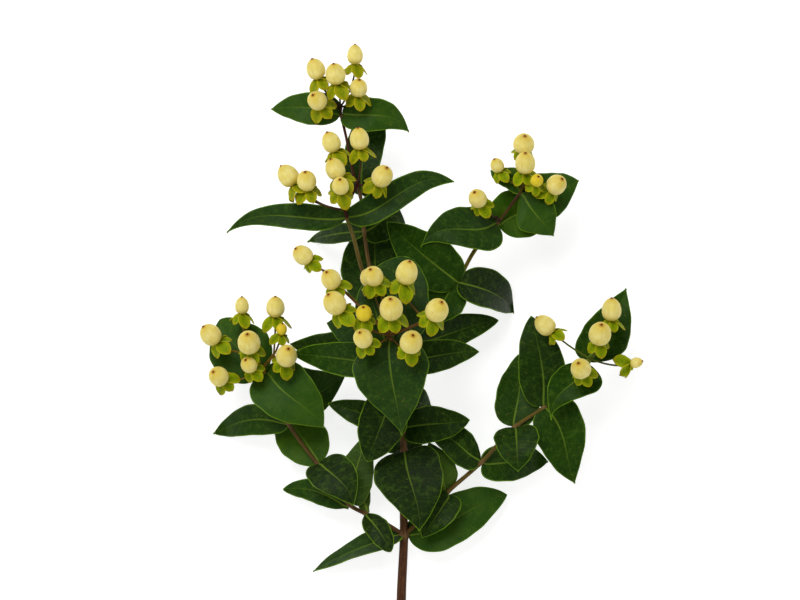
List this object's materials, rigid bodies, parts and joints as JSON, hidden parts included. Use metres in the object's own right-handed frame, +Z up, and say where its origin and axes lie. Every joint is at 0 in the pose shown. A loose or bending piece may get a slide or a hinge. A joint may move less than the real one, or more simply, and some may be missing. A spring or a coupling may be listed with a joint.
{
  "type": "hypericum berry stem",
  "caption": "Cut hypericum branch lying down, with dark egg-shaped leaves in pairs and forked heads of cream berries on green sepals.",
  "frame": {"origin": "on the surface that the branch lies on, under the middle of its bounding box", "axes": "+Z up from the surface, +Y along the branch from its cut end to its top, +X to the right seen from above"},
  "size_m": [0.1997, 0.3104, 0.1014],
  "materials": {
    "bark": "matte",
    "leaf": "satin",
    "berry": "satin"
  },
  "bodies": {
    "root": {"stem": "bark", "leaf_a_head_left": "leaf", "leaf_a_head_right": "leaf", "leaf_a_upper_back": "leaf", "leaf_b_head_left": "leaf", "leaf_b_head_right": "leaf", "leaf_a_lower_left": "leaf", "leaf_a_lower_right": "leaf", "leaf_main_6_back": "leaf", "leaf_e_lower_left": "leaf", "leaf_e_lower_right": "leaf", "leaf_e_lower_down": "leaf", "leaf_e_upper_left": "leaf", "leaf_e_upper_right": "leaf", "leaf_e_head_front": "leaf", "leaf_e_head_right": "leaf", "leaf_e_head_left": "leaf", "leaf_c_head_down": "leaf", "leaf_c_head_up": "leaf", "leaf_c_head_upper_left": "leaf", "leaf_c_head_left": "leaf", "leaf_c_lower_left": "leaf", "leaf_c_lower_right": "leaf", "leaf_main_5_left": "leaf", "leaf_main_5_right": "leaf", "leaf_main_4_right": "leaf", "leaf_d_head_back": "leaf", "leaf_d_head_front": "leaf", "leaf_d_head_right": "leaf", "leaf_d_4_left": "leaf", "leaf_d_3_back": "leaf", "leaf_d_3_front": "leaf", "leaf_d_2_left": "leaf", "leaf_d_2_up": "leaf", "leaf_d_1_up": "leaf", "leaf_d_1_down": "leaf", "leaf_main_1_left": "leaf", "leaf_main_1_right": "leaf", "leaf_main_2_front": "leaf", "leaf_main_2_back": "leaf", "leaf_main_3_right": "leaf", "leaf_main_3_left": "leaf", "leaf_main_4_left": "leaf", "leaf_f_1_down": "leaf", "leaf_f_1_up": "leaf", "leaf_f_2_left": "leaf", "leaf_f_2_right": "leaf", "leaf_f_3_front": "leaf", "leaf_f_3_back": "leaf", "leaf_f_4_up": "leaf", "leaf_f_4_down": "leaf", "leaf_f_head_down": "leaf", "leaf_f_head_up": "leaf", "berries_a": "berry", "berries_b": "berry", "berries_c": "berry", "berries_d": "berry", "berries_e": "berry", "berries_e_side": "berry", "berries_f": "berry"}
  },
  "joints": []
}
